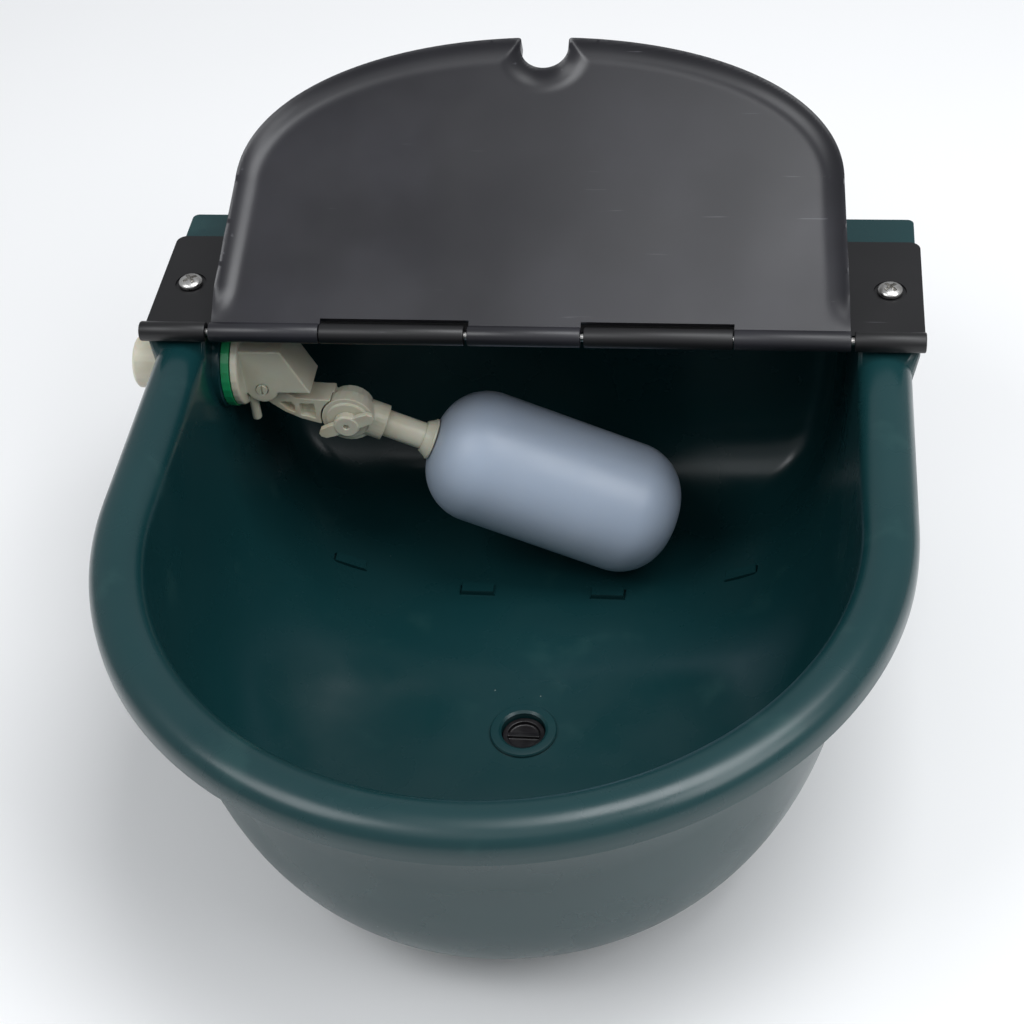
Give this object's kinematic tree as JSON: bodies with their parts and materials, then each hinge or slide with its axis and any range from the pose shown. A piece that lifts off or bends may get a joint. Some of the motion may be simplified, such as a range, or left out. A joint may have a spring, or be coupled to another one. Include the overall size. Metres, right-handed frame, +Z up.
{
  "type": "float valve drinking bowl",
  "caption": "Wall-mounted U-shaped drinking bowl that fills itself through a side-entry float valve, with a hinged lid, cover plate and screw-in drain plug.",
  "frame": {"origin": "centre of the flat back face that goes against the wall, 40 mm below the lid's hinge axis", "axes": "+Y into the wall, out of the back face; -Y to the animal; +X to the right seen from the animal; +Z up"},
  "size_m": [0.304, 0.3455, 0.1993],
  "materials": {
    "bowl_green": "satin moulded",
    "lid_black": "satin moulded",
    "valve_cream": "satin moulded",
    "float_white": "milky blow-moulded",
    "steel": "bright",
    "rubber_black": "matt",
    "washer_green": "translucent satin",
    "plug_dark": "matt"
  },
  "bodies": {
    "bowl_assembly": {"bowl": "bowl_green", "cover_plate": "lid_black", "screw_left": "steel", "screw_right": "steel", "hinge_pin": "steel", "valve_body": "valve_cream", "inlet_washer_inner": "washer_green", "inlet_washer_outer": "rubber_black", "lock_nut": "valve_cream", "inlet_strainer": "valve_cream", "pivot_pin": "valve_cream"},
    "lid": {"lid": "lid_black"},
    "drain_seal": {"drain_seal": "rubber_black"},
    "drain_plug": {"drain_plug": "plug_dark"},
    "seal": {"seal_cup": "valve_cream", "seal_disc": "rubber_black"},
    "lever": {"lever": "valve_cream", "knuckle_nut": "valve_cream"},
    "wing_screw": {"wing_screw": "valve_cream"},
    "float_arm": {"arm_knuckle": "valve_cream", "float_rod": "valve_cream", "float_collar": "valve_cream", "float": "float_white"}
  },
  "joints": [
    {"name": "lid_hinge", "type": "hinge", "parent": "bowl_assembly", "child": "lid", "pos_m": [0, -0.081, 0.04], "axis": [1, 0, 0], "range_deg": [0, 156.25]},
    {"name": "lever_hinge", "type": "hinge", "parent": "bowl_assembly", "child": "lever", "pos_m": [-0.1065, -0.066, 0.0058], "axis": [0, -1, 0], "range_deg": [0, 15]},
    {"name": "seal_slide", "type": "slide", "parent": "bowl_assembly", "child": "seal", "axis": [-1, 0, 0], "range_m": [0, 0.0019]},
    {"name": "knuckle_tilt", "type": "hinge", "parent": "lever", "child": "float_arm", "pos_m": [-0.0747, -0.066, -0.0113], "axis": [0, -1, 0], "range_deg": [0, 12]},
    {"name": "wing_screw_turn", "type": "hinge", "parent": "lever", "child": "wing_screw", "pos_m": [-0.0747, -0.074, -0.0113], "axis": [0, 1, 0], "range_deg": [0, 360]},
    {"name": "drain_slide", "type": "slide", "parent": "bowl_assembly", "child": "drain_seal", "axis": [0, 0, -1], "range_m": [0, 0.009]},
    {"name": "drain_turn", "type": "hinge", "parent": "drain_seal", "child": "drain_plug", "pos_m": [0, -0.1629, -0.1], "axis": [0, 0, 1], "range_deg": [0, 1080]}
  ],
  "couplings": [
    {"joint": "seal_slide", "follows": "lever_hinge", "m_per_rad": 0.0072},
    {"joint": "drain_turn", "follows": "drain_slide", "rad_per_m": 2094.4}
  ]
}
